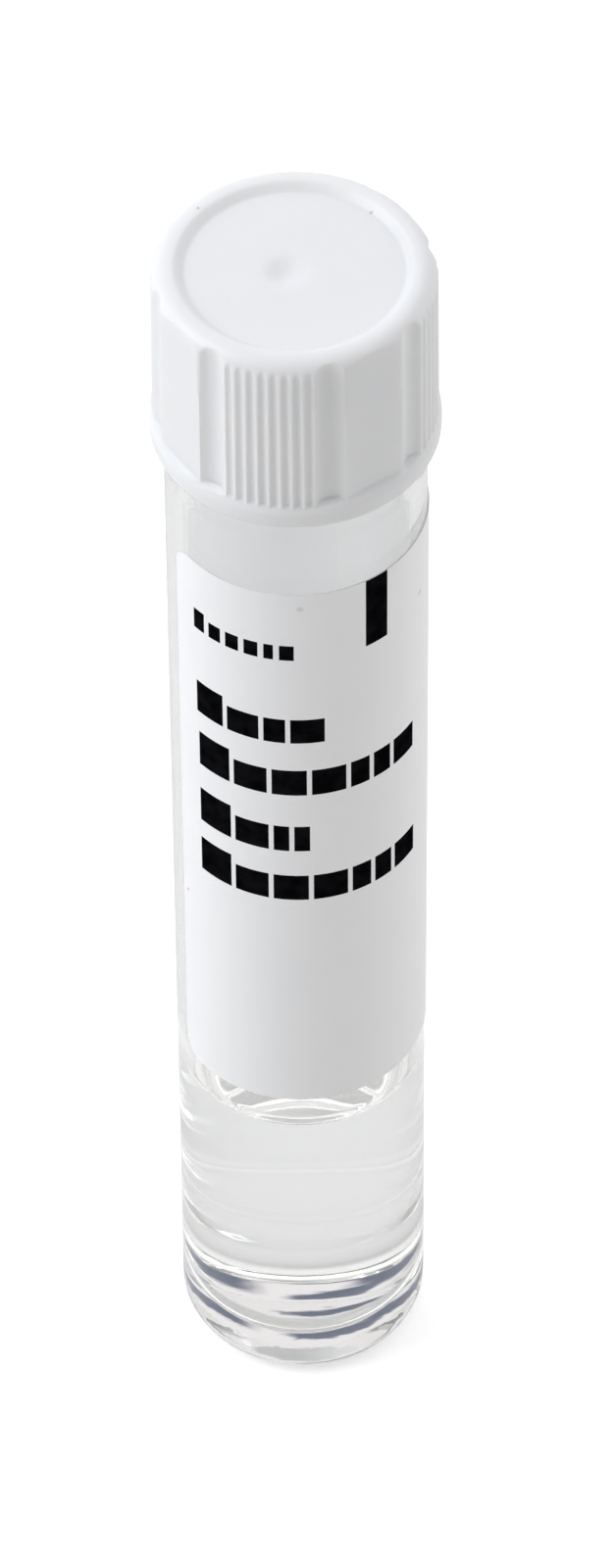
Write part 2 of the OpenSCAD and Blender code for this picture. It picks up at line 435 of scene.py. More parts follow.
def make_glass(name, index):
    """Clear glass with a slow waviness. The foot, which was melted flat, is many times as
    wavy: the waves' height is times a number that eases to 1 with height."""
    material, tree, shader = start_material(name, (0.965, 0.967, 0.962), 0.0,
                                            [("Transmission Weight", 1.0), ("IOR", index)])
    take_mean_light(tree, shader)
    wave = use_group(tree, UNEVEN, Scale=200.0, Detail=1.0)
    part = tree.nodes.new("ShaderNodeSeparateXYZ")
    tree.links.new(place(tree), part.inputs[0])
    more = eased(tree, part.outputs["Z"], *FOOT_EASE, FOOT_WAVES, 1.0)
    height = math_node(tree, "MULTIPLY", wave["Height"], more)
    feed(shader, "Normal", bumped(tree, height, WAVE_DEPTH))
    smear = use_group(tree, UNEVEN, Scale=90.0, Detail=2.0)
    feed(shader, "Roughness", eased(tree, smear["Tint"], 0.0, 1.0, 0.0, SMEAR_MOST))
    return material


glass_material = make_glass("clear_glass", GLASS_INDEX)
wet_glass_material = make_glass("wet_glass", GLASS_INDEX / LIQUID_INDEX)
print("wet glass bends light by", round(GLASS_INDEX / LIQUID_INDEX, 3))

# %% Liquid material
RIPPLE_DEPTH = 1e-6  # metres


def make_liquid(name, index, alpha):
    """Clear watery liquid, with a trace of unevenness so its surface isn't a mirror.
    Where it wets the wall, alpha 0 lets light pass it as if nothing were there."""
    material, tree, shader = start_material(
        name, (0.96, 0.968, 0.962), 0.0,
        [("Transmission Weight", 1.0), ("IOR", index), ("Alpha", alpha)])
    ripple = use_group(tree, UNEVEN, Scale=120.0, Detail=1.0)
    feed(shader, "Normal", bumped(tree, ripple["Height"], RIPPLE_DEPTH))
    return material


liquid_top_material = make_liquid("liquid_surface", LIQUID_INDEX, 1.0)
liquid_side_material = make_liquid("liquid_side", 1.0, 0.0)

# %% [markdown]
# ## The glass tube
# A cuvette's tube is drawn from tubing. Its foot is melted flat and pushed up a little
# in the middle, which leaves a ring to stand on and a big soft corner inside. The top
# is drawn in to a neck, and a thread is rolled into it while hot. The section below
# follows the outside up from the middle of the foot, over the lip and down the inside.
# The thread is not a separate piece: it is a swelling of the neck's own radius, so the
# glass stays one closed body with a single surface, as clear glass must.

# %% Tube sizes
TUBE_R = float(tube_high.x)
TUBE_TOP = float(tube_high.z)
BORE_R = TUBE_R - 1.0
FLOOR_Z = 1.8  # the inside's floor over the underside
FLOOR_CORNER = 4.5  # radius between the floor and the wall, inside
FOOT_CORNER = 1.8  # radius between the ring and the wall, outside
HOLLOW = 0.7  # how far the underside's middle is pushed up
RING_W = 0.6  # width of the ring that the tube stands on
NECK_R, NECK_BORE_R = TUBE_R - 1.1, TUBE_R - 2.4
SHOULDER_Z = TUBE_TOP - 11.9  # where the straight wall ends
SHOULDER_R, INNER_SHOULDER_R = 14.0, 11.0
LIP_ROUND = 0.3
LIQUID_Z = 24.8  # the liquid's level away from the wall
CLIMB_R, CLIMB_H = 1.2, 0.8  # radius and height of its edge at the wall
foot_r = TUBE_R - FOOT_CORNER - RING_W
hollow_r = arc_radius(2 * foot_r, HOLLOW)
hollow_angle = math.degrees(math.asin(foot_r / hollow_r))
wet_top = LIQUID_Z + CLIMB_H


# %% Shoulder
def drawn_in(radius, curve, to_radius, steps):
    """Shoulder: an arc of a given curve, tangent to the straight wall below it. It ends
    at the angle whose cosine is (to_radius - radius + curve) / curve."""
    end = math.degrees(math.acos((to_radius - radius + curve) / curve))
    return arc((radius - curve, SHOULDER_Z), curve, 0, end, steps)


outer_shoulder = drawn_in(TUBE_R, SHOULDER_R, NECK_R, 28)
inner_shoulder = drawn_in(BORE_R, INNER_SHOULDER_R, NECK_BORE_R, 28)
print("neck starts at", round(float(outer_shoulder[-1, 1]), 2), "mm")

# %% Neck thread
joints = {joint["name"]: joint for joint in frame["joints"]}
TURN_RANGE = math.radians(joints["cap_turn"]["range_deg"][1])
PITCH = 2.5
GLASS_THREAD_Z = TUBE_TOP - 5.45  # where the ridge starts
GLASS_THREAD_H = 0.52
RIDGE_CREST, RIDGE_FOOT = 0.14, 0.52  # half widths along the axis
THREAD_FADE = 0.9  # radians at each end


def thread_on_neck(r, z, a):
    """Radius of the neck with its thread. The ridge follows the helix whose height is
    start plus pitch times turns. It is full within its crest's half width, eases to
    nothing at its foot's, and fades out over its two ends."""
    turns = np.round((z - GLASS_THREAD_Z) / PITCH - a / FULL_TURN)
    along = a + FULL_TURN * turns
    off = z - (GLASS_THREAD_Z + PITCH * along / FULL_TURN)
    ridge = 1 - smoothstep(RIDGE_CREST, RIDGE_FOOT, np.abs(off))
    ends = (smoothstep(0.0, THREAD_FADE, along)
            * (1 - smoothstep(TURN_RANGE - THREAD_FADE, TURN_RANGE, along)))
    on_neck = np.abs(r - NECK_R) < HARDLY
    return r + on_neck * GLASS_THREAD_H * ridge * ends


# %% Glass tube
tube_outside = np.vstack([
    [(0, HOLLOW)],
    arc((0, HOLLOW - hollow_r), hollow_r, 90, 90 - hollow_angle, 14)[1:],
    line((foot_r + 0.15, 0), (TUBE_R - FOOT_CORNER, 0), 3),
    arc((TUBE_R - FOOT_CORNER, FOOT_CORNER), FOOT_CORNER, -90, 0, 24)[1:],
    line((TUBE_R, FOOT_CORNER), (TUBE_R, SHOULDER_Z), 22)[1:],
    outer_shoulder[1:],
    line((NECK_R, outer_shoulder[-1, 1] + 0.1), (NECK_R, TUBE_TOP - LIP_ROUND), 64),
    arc((NECK_R - LIP_ROUND, TUBE_TOP - LIP_ROUND), LIP_ROUND, 0, 90, 7)[1:],
])
tube_inside = np.vstack([
    arc((NECK_BORE_R + LIP_ROUND, TUBE_TOP - LIP_ROUND), LIP_ROUND, 90, 180, 7),
    line((NECK_BORE_R, TUBE_TOP - 1), (NECK_BORE_R, inner_shoulder[-1, 1]), 6),
    inner_shoulder[::-1][1:],
    line((BORE_R, SHOULDER_Z - 1), (BORE_R, wet_top), 16),
    line((BORE_R, wet_top - 0.4), (BORE_R, FLOOR_Z + FLOOR_CORNER), 12),
    arc((BORE_R - FLOOR_CORNER, FLOOR_Z + FLOOR_CORNER), FLOOR_CORNER, 0, -90, 40)[1:],
    line((BORE_R - FLOOR_CORNER, FLOOR_Z), (0, FLOOR_Z), 8)[1:],
])
tube_section = np.vstack([tube_outside, tube_inside])
inside = np.arange(len(tube_section)) >= len(tube_outside)
wet_rows = (inside & (tube_section[:, 1] <= wet_top + HARDLY)).astype(int)
tube_piece = grid_mesh("blown_glass_tube", spun(tube_section, even_turn(192), thread_on_neck),
                       row_slots=wet_rows, crease=60,
                       materials=(glass_material, wet_glass_material))
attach(tube_piece, "glass")
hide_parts("glass_tube")

# %% [markdown]
# ## The liquid
# Water wets glass, so its edge climbs the wall in a small curve, the meniscus, which
# catches light as a thin bright line. The liquid is a closed body of its own that lies
# a hair inside the wall. It could be cut from the bore with a Boolean modifier, but the
# section is known, so it is spun as the tube is.

# %% Liquid
HAIR = 0.002  # gap between the liquid and the glass
side_r = BORE_R - HAIR
climb_end = math.degrees(math.acos((CLIMB_R - CLIMB_H) / CLIMB_R))
liquid_parts = [
    (line((0, FLOOR_Z + HAIR), (0.9, FLOOR_Z + HAIR), 2), 1),
    (arc((BORE_R - FLOOR_CORNER, FLOOR_Z + FLOOR_CORNER), FLOOR_CORNER - HAIR, -90, 0, 40), 1),
    (line((side_r, FLOOR_Z + FLOOR_CORNER), (side_r, wet_top - 0.3), 12)[1:], 1),
    (arc((side_r - CLIMB_R, LIQUID_Z + CLIMB_R), CLIMB_R, climb_end - 90, -90, 18), 0),
    (line((side_r - CLIMB_R, LIQUID_Z), (0, LIQUID_Z), 10)[1:], 0),
]
liquid_section = np.vstack([part for part, slot in liquid_parts])
side_rows = np.concatenate([np.full(len(part), slot) for part, slot in liquid_parts])
liquid_piece = grid_mesh("liquid_fill", spun(liquid_section, even_turn(192)),
                         row_slots=side_rows, crease=60,
                         materials=(liquid_top_material, liquid_side_material))
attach(liquid_piece, "glass")
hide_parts("liquid")

# %% [markdown]
# ## Label film and ink
# The label is white plastic film with a smooth, slightly satin face. Film of this kind
# shows a faint mottle where its adhesive is thicker, and the ink lies in it quite matt.
# The film is not a perfect white, or its shading would clip. Its inner side is seen
# through the glass and has a material of its own.

# %% Label materials
def make_film():
    """White satin film: a faint mottle in colour and gloss, and a shallow unevenness."""
    material, tree, shader = start_material("label_film", (0.95, 0.95, 0.945), 0.45)
    mottle = use_group(tree, UNEVEN, Scale=260.0, Detail=3.0)
    grain = use_group(tree, GRAIN, Scale=9000.0)
    dust = use_group(tree, SPECKS, Scale=260.0, Size=0.05, Share=0.012)
    white = tinted(tree, mottle["Tint"], (0.945, 0.945, 0.945), (0.96, 0.958, 0.953))
    white = marked(tree, white, [((-7.02, -4.02, 44.67), 0.14, (0.62, 0.16, 0.12), 0.9),
                                 ((7.48, -3.08, 70.97), 0.35, (0.60, 0.60, 0.60), 0.5),
                                 ((0.18, -8.09, 74.89), 0.30, (0.62, 0.62, 0.62), 0.5)])
    feed(shader, "Base Color", tinted(tree, dust["Mask"], white, (0.62, 0.61, 0.59)))
    uneven_gloss(shader, mottle["Height"], 0.40, 0.52)
    soft = bumped(tree, mottle["Height"], 1.2e-5)
    feed(shader, "Normal", bumped(tree, grain["Height"], 1.0e-6, below=soft))
    return material


def make_adhesive_side():
    """The film's inner side: the same white, but light from outside soaks through it, so
    its subsurface radius is many times the film's thickness."""
    material, tree, shader = start_material(
        "label_adhesive_side", (0.96, 0.96, 0.95), 0.6,
        [("Subsurface Weight", 1.0), ("Subsurface Radius", (1.0, 1.0, 1.0)),
         ("Subsurface Scale", 0.002), ("Specular IOR Level", 0.2)])
    patches = use_group(tree, UNEVEN, Scale=180.0, Detail=2.0)
    feed(shader, "Base Color", tinted(tree, patches["Tint"], (0.95, 0.95, 0.94),
                                      (0.97, 0.97, 0.96)))
    feed(shader, "Normal", bumped(tree, patches["Height"], 4.0e-6))
    return material


def make_ink():
    """Black ink: nearly black, a little grey where it is thin, and quite matt."""
    material, tree, shader = start_material("label_ink", (0.004, 0.004, 0.005), 0.5,
                                            [("Specular IOR Level", 0.0)])
    thin = use_group(tree, UNEVEN, Scale=900.0, Detail=3.0)
    feed(shader, "Base Color", tinted(tree, thin["Tint"], (0.002, 0.002, 0.0025),
                                      (0.007, 0.007, 0.008)))
    uneven_gloss(shader, thin["Height"], 0.42, 0.58)
    feed(shader, "Normal", bumped(tree, thin["Height"], 2.0e-6))
    return material


film_material = make_film()
ink_material = make_ink()
adhesive_material = make_adhesive_side()

# %% [markdown]
# ## The label
# The label is die-cut with rounded corners and rolled round the tube, where its ends
# stop short of each other at the back. Its print is plain: an index bar at the top
# edge, a row of small dashes, and four rows of blocks. A texture could carry the print,
# but here each block is a set of the sheet's own faces with the ink material, so its
# edges stay sharp at any size. The grid has a line along every block's edge.

# %% Label layout
LABEL_START, LABEL_END = -64.0, 258.0  # degrees from the front
LABEL_Z0, LABEL_Z1 = float(label_low.z), float(label_high.z)
LABEL_R0, LABEL_R1 = TUBE_R + 0.01, TUBE_R + 0.09
LABEL_CORNER = 1.5
REST_TALL = 0.76  # height of a row's other blocks against its first


def row_of_blocks(start, end, low, high, widths, gap):
    """Blocks along a row: the widths share what the gaps leave, and the first block is
    taller than the rest, as a line's first sign often is."""
    widths = np.array(widths, float)
    scale = (end - start - gap * (len(widths) - 1)) / widths.sum()
    lefts = start + np.concatenate([[0], np.cumsum(widths * scale + gap)[:-1]])
    tops = np.where(np.arange(len(widths)) == 0, high, low + REST_TALL * (high - low))
    return [(a, a + w * scale, low, t) for a, w, t in zip(lefts, widths, tops)]


# Start, end and gap in degrees, low and high in mm, widths as shares of the row.
BLOCKS = [(30.9, 42.5, 70.3, LABEL_Z1)]
for row in ((-50.9, -1.6, 70.3, 72.0, [3, 3, 3, 3, 2, 3], 2.6),
            (-49.9, 11.6, 62.8, 65.6, [5, 5, 3.2, 5], 2.2),
            (-48.9, 60.8, 58.0, 61.0, [5.5, 5, 5, 5, 3, 3, 4.6], 2.2),
            (-48.9, 4.8, 52.8, 55.8, [5.5, 5, 2.2, 2.2], 2.2),
            (-48.9, 61.8, 48.2, 51.2, [5.5, 5, 5, 5, 3, 3, 4.6], 2.2)):
    BLOCKS += row_of_blocks(*row)
print(len(BLOCKS), "printed blocks")

# %% Label grid
DEGREE = math.radians(1)
LEAST_TURN, LEAST_RISE = 0.25, 0.03  # degrees and mm between grid lines
edge_angles = np.unique(np.round([v for b in BLOCKS for v in b[:2]], 4))
edge_heights = np.unique(np.round([v for b in BLOCKS for v in b[2:]], 4))
corner_span = LABEL_CORNER / TUBE_R / DEGREE
corner_turns = np.linspace(0, corner_span, 7)
corner_rises = LABEL_CORNER * (1 - np.cos(np.linspace(0, 90, 10) * DEGREE))
angles = np.concatenate([np.linspace(LABEL_START, LABEL_END, 162), edge_angles,
                         LABEL_START + corner_turns, LABEL_END - corner_turns])
levels = np.concatenate([np.linspace(LABEL_Z0, LABEL_Z1, 26), edge_heights,
                         LABEL_Z0 + corner_rises, LABEL_Z1 - corner_rises])


def thinned(values, least, keep):
    """Sorted values: all that must be kept, and of the others those that lie at least a
    given distance from all of these."""
    values = np.unique(np.round(values, 4))
    keep = np.unique(np.round(keep, 4))
    spare = np.abs(values[:, None] - keep[None, :]).min(1) >= least
    return np.unique(np.concatenate([values[spare], keep]))


angles = thinned(angles, LEAST_TURN,
                 np.concatenate([edge_angles, [LABEL_START, LABEL_END]]))
levels = thinned(levels, LEAST_RISE, np.concatenate([edge_heights, [LABEL_Z0, LABEL_Z1]]))
print("label grid:", len(angles), "by", len(levels))


# %% Label
FILM, INK, ADHESIVE = 0, 1, 2  # material slots of the label's mesh


def label_sheet(radius):
    """The sheet's points at a radius: columns are angles and rows are heights. Near the
    top and bottom, the columns next to the two ends draw in by radius less the root of
    (radius squared less rise squared), which rounds the corners."""
    a, z = np.meshgrid(angles, levels)
    rise = np.clip(LABEL_CORNER - np.minimum(z - LABEL_Z0, LABEL_Z1 - z), 0, LABEL_CORNER)
    inset = (LABEL_CORNER - np.sqrt(LABEL_CORNER ** 2 - rise ** 2)) / TUBE_R / DEGREE
    near_start = np.clip(1 - (a - LABEL_START) / corner_span, 0, 1)
    near_end = np.clip(1 - (LABEL_END - a) / corner_span, 0, 1)
    turned = (a + inset * (near_start - near_end)) * DEGREE + FRONT
    return np.stack([radius * np.cos(turned), radius * np.sin(turned), z], -1) * MM


def label_mesh():
    """Outer sheet, inner sheet and the four strips between their edges, as one mesh."""
    outer, inner = label_sheet(LABEL_R1), label_sheet(LABEL_R0)
    rows, cols = outer.shape[:2]
    index = np.arange(rows * cols).reshape(rows, cols)
    back = index + rows * cols
    face = np.stack([index[:-1, :-1], index[:-1, 1:], index[1:, 1:], index[1:, :-1]], -1)
    rear = np.stack([back[:-1, :-1], back[1:, :-1], back[1:, 1:], back[:-1, 1:]], -1)
    rim = np.concatenate([index[0, :-1], index[:-1, -1], index[-1, :0:-1], index[:0:-1, 0]])
    rim_next = np.roll(rim, -1)
    edge = np.stack([rim, rim + rows * cols, rim_next + rows * cols, rim_next], -1)
    faces = np.concatenate([face.reshape(-1, 4), rear.reshape(-1, 4), edge])
    mid_a = (angles[:-1] + angles[1:]) / 2
    mid_z = (levels[:-1] + levels[1:]) / 2
    inked = np.zeros((rows - 1, cols - 1), bool)
    for left, right, low, high in BLOCKS:
        inked |= (((mid_a > left) & (mid_a < right))[None, :]
                  & ((mid_z > low) & (mid_z < high))[:, None])
    slots = np.full(len(faces), FILM)
    slots[:inked.size][inked.ravel()] = INK
    slots[inked.size:2 * inked.size] = ADHESIVE
    return add_piece("wrap_label", np.concatenate([outer, inner]), faces.tolist(), slots,
                     (film_material, ink_material, adhesive_material), 40.0)


label_piece = label_mesh()
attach(label_piece, "glass")
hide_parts("label")

# %% [markdown]
# ## Moulded cap plastic
# The cap is white polypropylene. It is a soft satin white with light scattering a
# little way in, a very fine texture from the mould, and faint flow marks. Dust settles
# on it as rare grey specks.

# %% Cap material
def make_cap_plastic():
    """White satin plastic with flow marks in its tint, fine grain and rare specks."""
    material, tree, shader = start_material(
        "cap_plastic", (0.85, 0.85, 0.84), 0.38,
        [("Subsurface Weight", 0.5), ("Subsurface Radius", (1.0, 0.9, 0.8)),
         ("Subsurface Scale", 0.0008)])
    flow = use_group(tree, UNEVEN, Scale=120.0, Detail=3.0)
    grain = use_group(tree, GRAIN, Scale=5000.0)
    dust = use_group(tree, SPECKS, Scale=318.0, Size=0.07, Share=0.02)
    white = tinted(tree, flow["Tint"], (0.845, 0.848, 0.845), (0.865, 0.863, 0.855))
    white = marked(tree, white, [((-5.68, 4.87, 96.0), 0.22, (0.22, 0.20, 0.18), 0.8),
                                 ((4.59, 4.75, 95.8), 0.18, (0.35, 0.33, 0.30), 0.5)])
    feed(shader, "Base Color", tinted(tree, dust["Mask"], white, (0.5, 0.47, 0.44)))
    uneven_gloss(shader, flow["Height"], 0.34, 0.46)
    soft = bumped(tree, flow["Height"], 2.5e-5)
    feed(shader, "Normal", bumped(tree, grain["Height"], 3.0e-6, below=soft))
    return material


cap_material = make_cap_plastic()

# %% [markdown]
# ## The screw cap
# The cap is one moulding: a skirt with a low flange at its foot, four fields of eight
# fine grooves, a broad flute on each side of a field and a flat between fields, and a
# rounded rim round a sunk top. The mould is filled near the middle of that top, which
# leaves a soft dimple. Grooves could be cut with Boolean modifiers, but their edges
# would stay sharp. Here the radius is a field over angle and height: the section's
# radius, or the distance to a groove's wall where that is smaller, with the corner
# between them eased as a mould's is.

# %% Cap sizes
CAP_FOOT, CAP_CREST = float(cap_low.z), float(cap_high.z)
FLANGE_R, FLANGE_ROUND = float(cap_high.x), 0.45
FLANGE_TOP = CAP_FOOT + 1.6
SKIRT_FOOT_R, CAP_R = 8.66, 8.57  # the skirt narrows a little upwards
CAP_ROUND = 1.15  # radius of the rounded rim
ROUND_Z, CREST_R = CAP_CREST - CAP_ROUND, CAP_R - CAP_ROUND
CAP_BORE, BORE_CORNER = 7.65, 0.2
MOUTH_R, MOUTH_H = 8.15, 2.0  # the wider mouth under the bore
CEILING_Z = float(disc_high.z)
SUNK_Z = CAP_CREST - 0.45  # the sunk top
CREST_FLAT, LIP_CURVE, COVE_R = 0.09, 0.45, 0.4
RIM_SLOPE = 38.0  # degrees, between the lip's curve and the cove
DIMPLE_R, DIMPLE_DEPTH = 1.7, 0.34

# %% Grip sizes
FIELDS, FIELD_TURN = 4, math.radians(-10.7)
FIELD_STEP = FULL_TURN / FIELDS
GROOVES, GROOVE_PITCH = 8, math.radians(4.68)
GROOVE_CHORD, GROOVE_DEPTH = 0.44, 0.10
FIELD_SPAN = GROOVES * GROOVE_PITCH
FLUTE_SPAN, FLUTE_DEPTH = math.radians(12.3), 0.34
FLAT_SPAN = FIELD_STEP - FIELD_SPAN - 2 * FLUTE_SPAN
GRIP_EASE = 0.035  # how far the grip's corners are eased
NO_WALL = 9.6  # a radius outside the whole cap


# %% Grip
def channel_wall(offset, chord, depth):
    """Distance from the axis to a round channel's wall at an angle d off its middle:
    c cos d less the root of (channel radius squared less c squared sine squared d),
    where c is the distance of the channel's centre."""
    curve = arc_radius(chord, depth)
    centre = math.sqrt(CAP_R ** 2 - chord * chord / 4) - depth + curve
    inside = curve ** 2 - (centre * np.sin(offset)) ** 2
    wall = centre * np.cos(offset) - np.sqrt(np.clip(inside, 0, None))
    return np.where((inside > 0) & (np.cos(offset) > 0.9), wall, NO_WALL)


def grip_reach(angle):
    """Distance from the axis to the nearest grip cut: grooves, flutes or flats."""
    off = (angle - FRONT - FIELD_TURN + FIELD_STEP / 2) % FIELD_STEP - FIELD_STEP / 2
    nearest = np.clip(np.round(off / GROOVE_PITCH - 0.5), -GROOVES // 2, GROOVES // 2 - 1) + 0.5
    groove = channel_wall(off - nearest * GROOVE_PITCH, GROOVE_CHORD, GROOVE_DEPTH)
    flute_middle = (FIELD_SPAN + FLUTE_SPAN) / 2
    flute_chord = 2 * CAP_R * math.sin(FLUTE_SPAN / 2)
    flute = channel_wall(np.abs(off) - flute_middle, flute_chord, FLUTE_DEPTH)
    flat_off = np.abs(off) - FIELD_STEP / 2
    flat = np.where(np.abs(flat_off) < FLAT_SPAN / 2 + 0.02,
                    CAP_R * math.cos(FLAT_SPAN / 2) / np.cos(flat_off), NO_WALL)
    return np.minimum(np.minimum(groove, flute), flat)


def gripped(r, z, a):
    """The cap's radius: the section's, cut back by the grip above the flange."""
    outside = (r > CREST_R) & (z > FLANGE_TOP - 0.4)
    start = smoothstep(FLANGE_TOP - 0.02, FLANGE_TOP + 0.3, z)
    cut = smaller(r, grip_reach(a), GRIP_EASE)
    return np.where(outside, r + (np.minimum(cut, r) - r) * start, r)


def cap_angles():
    """Angles close together over the fine grooves and wider over flutes and flats."""
    edge = FIELD_SPAN / 2
    marks = np.concatenate([
        np.linspace(-edge, edge, GROOVES * 14, endpoint=False),
        np.linspace(edge, edge + FLUTE_SPAN, 16, endpoint=False),
        edge + FLUTE_SPAN + np.linspace(0, FLAT_SPAN, 18, endpoint=False),
        -edge - np.linspace(FLUTE_SPAN, 0, 16, endpoint=False)])
    every = (marks[None, :] + np.arange(FIELDS)[:, None] * FIELD_STEP).ravel()
    return np.sort((every + FRONT + FIELD_TURN) % FULL_TURN)


# %% Cap section
slope = math.radians(RIM_SLOPE)
lip_end_r = CREST_R - CREST_FLAT - LIP_CURVE * math.sin(slope)
lip_end_z = CAP_CREST - LIP_CURVE * (1 - math.cos(slope))
cove_top_z = SUNK_Z + COVE_R * (1 - math.cos(slope))
cove_top_r = lip_end_r - (lip_end_z - cove_top_z) / math.tan(slope)
cove_centre_r = cove_top_r - COVE_R * math.sin(slope)
dimple_r = np.linspace(DIMPLE_R, 0, 16)
dimple_z = SUNK_Z - DIMPLE_DEPTH * (1 + np.cos(math.pi * dimple_r / DIMPLE_R)) / 2
cap_inside = [
    line((0, CEILING_Z), (CAP_BORE - BORE_CORNER, CEILING_Z), 4),
    arc((CAP_BORE - BORE_CORNER, CEILING_Z - BORE_CORNER), BORE_CORNER, 90, 0, 5)[1:],
    line((CAP_BORE, CEILING_Z - 0.5), (CAP_BORE, CAP_FOOT + MOUTH_H + 0.25), 8),
    line((CAP_BORE + 0.1, CAP_FOOT + MOUTH_H), (MOUTH_R, CAP_FOOT + MOUTH_H), 3),
    line((MOUTH_R, CAP_FOOT + MOUTH_H - 0.2), (MOUTH_R, CAP_FOOT + 0.1), 4),
]
cap_outside = [
    line((MOUTH_R + 0.07, CAP_FOOT), (FLANGE_R - FLANGE_ROUND, CAP_FOOT), 3),
    arc((FLANGE_R - FLANGE_ROUND, CAP_FOOT + FLANGE_ROUND), FLANGE_ROUND, -90, 0, 10)[1:],
    line((FLANGE_R, CAP_FOOT + 0.6), (FLANGE_R, FLANGE_TOP - 0.37), 5),
    line((FLANGE_R - 0.025, FLANGE_TOP - 0.29), (SKIRT_FOOT_R + 0.01, FLANGE_TOP - 0.02), 5),
    line((SKIRT_FOOT_R - 0.011, FLANGE_TOP + 0.02),
         (SKIRT_FOOT_R - 0.013, FLANGE_TOP + 0.3), 7),
    line((SKIRT_FOOT_R - 0.016, FLANGE_TOP + 0.6), (CAP_R, ROUND_Z), 12),
    arc((CREST_R, ROUND_Z), CAP_ROUND, 0, 90, 20)[1:],
]
cap_top = [
    arc((CREST_R - CREST_FLAT, CAP_CREST - LIP_CURVE), LIP_CURVE, 90, 90 + RIM_SLOPE, 8),
    line((lip_end_r, lip_end_z), (cove_top_r, cove_top_z), 5)[1:],
    arc((cove_centre_r, SUNK_Z + COVE_R), COVE_R, RIM_SLOPE - 90, -90, 10)[1:],
    line((cove_centre_r, SUNK_Z), (DIMPLE_R + 0.1, SUNK_Z), 8)[1:],
    np.column_stack([dimple_r, dimple_z]),
]
cap_section = np.vstack(cap_inside + cap_outside + cap_top)

# %% Cap
GATE_OFF = 0.4  # how far the dimple lies to the left of the middle
ALL_MOVED, NONE_MOVED = 1.8, 4.5  # radii


def gate_moved(points):
    """Moves the dimple off the middle: all points of the top within one radius by the
    same step, and those out to another radius by a share that eases to nothing."""
    top = points[:, :, 2] > (SUNK_Z - 2 * DIMPLE_DEPTH) * MM
    out = np.hypot(points[:, :, 0], points[:, :, 1])
    share = (1 - smoothstep(ALL_MOVED * MM, NONE_MOVED * MM, out)) * top
    points[:, :, 0] -= GATE_OFF * MM * share
    return points


cap_piece = grid_mesh("moulded_screw_cap",
                      gate_moved(spun(cap_section, cap_angles(), gripped)),
                      crease=50, materials=(cap_material,))
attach(cap_piece, "cap")
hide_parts("screw_cap")

# %% [markdown]
# ## The cap's thread
# Inside the skirt runs a ridge, just under the glass thread, where a tight cap pulls
# against it. A ridge is a profile carried along a helix, and so it is made: a low
# trapezoid whose height tapers at both ends.

# %% Cap thread
CAP_THREAD_Z = GLASS_THREAD_Z - 1.12
CAP_THREAD_H, CAP_THREAD_TURNS = 0.55, 1.5
RIDGE_ACROSS = np.array([-0.46, -0.40, -0.13, 0.13, 0.40, 0.46])  # mm along the axis
RIDGE_REACH = np.array([-0.08, 0.04, 1.0, 1.0, 0.04, -0.08])  # shares of its height
TAPER_TURN = 0.5  # radians at each end
END_HIGH, END_WIDE = 0.08, 0.35  # shares of height and width left at the ends


def helix_ridge(root, height, start_z, turns, steps):
    """Points of the ridge: at each step along the helix, six points of its section. The
    first and last lie a little inside the wall."""
    along = np.linspace(0, FULL_TURN * turns, steps)[:, None]
    rise = start_z + PITCH * along / FULL_TURN
    end = along[-1]
    taper = smoothstep(0, TAPER_TURN, along) * (1 - smoothstep(end - TAPER_TURN, end, along))
    crest = height * np.maximum(taper, END_HIGH)
    r = root - np.where(RIDGE_REACH > 0.5, crest, height * RIDGE_REACH)
    z = rise + RIDGE_ACROSS * (END_WIDE + (1 - END_WIDE) * taper)
    return np.stack([r * np.cos(along), r * np.sin(along), z], -1) * MM


ridge_points = helix_ridge(CAP_BORE, CAP_THREAD_H, CAP_THREAD_Z, CAP_THREAD_TURNS, 180)
thread_piece = grid_mesh("cap_thread_ridge", ridge_points, ends=True, crease=50,
                         materials=(cap_material,))
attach(thread_piece, "cap")

# %% [markdown]
# ## The sealing disc
# A soft disc closes the mouth. It is punched from sheet rubber, so its faces are flat
# and matt and its cut edge is straight. A cylinder with a Bevel modifier would do, but
# its section is spun as the other pieces' are.

# %% Sealing disc
def make_rubber():
    """Off-white rubber: matt, slightly mottled, with a fine grain."""
    material, tree, shader = start_material("disc_rubber", (0.80, 0.78, 0.72), 0.6)
    mottle = use_group(tree, UNEVEN, Scale=400.0, Detail=2.0)
    grain = use_group(tree, GRAIN, Scale=4000.0)
    feed(shader, "Base Color", tinted(tree, mottle["Tint"], (0.78, 0.76, 0.70),
                                      (0.82, 0.80, 0.75)))
    feed(shader, "Normal", bumped(tree, grain["Height"], 6.0e-6))
    uneven_gloss(shader, mottle["Height"], 0.5, 0.65)
    return material


DISC_R, DISC_EDGE = float(disc_high.x), 0.1
DISC_Z0, DISC_Z1 = float(disc_low.z), float(disc_high.z)
disc_section = np.vstack([
    line((0, DISC_Z0), (NECK_BORE_R - 0.1, DISC_Z0), 4),
    line((NECK_BORE_R + 0.2, DISC_Z0), (DISC_R - DISC_EDGE, DISC_Z0), 4),
    arc((DISC_R - DISC_EDGE, DISC_Z0 + DISC_EDGE), DISC_EDGE, -90, 0, 5)[1:],
    arc((DISC_R - DISC_EDGE, DISC_Z1 - DISC_EDGE), DISC_EDGE, 0, 90, 5),
    line((DISC_R - 0.2, DISC_Z1), (0, DISC_Z1), 4),
])
disc_piece = grid_mesh("punched_sealing_disc", spun(disc_section, even_turn(128)),
                       crease=50, materials=(make_rubber(),))
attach(disc_piece, "seal")
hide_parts("sealing_disc")

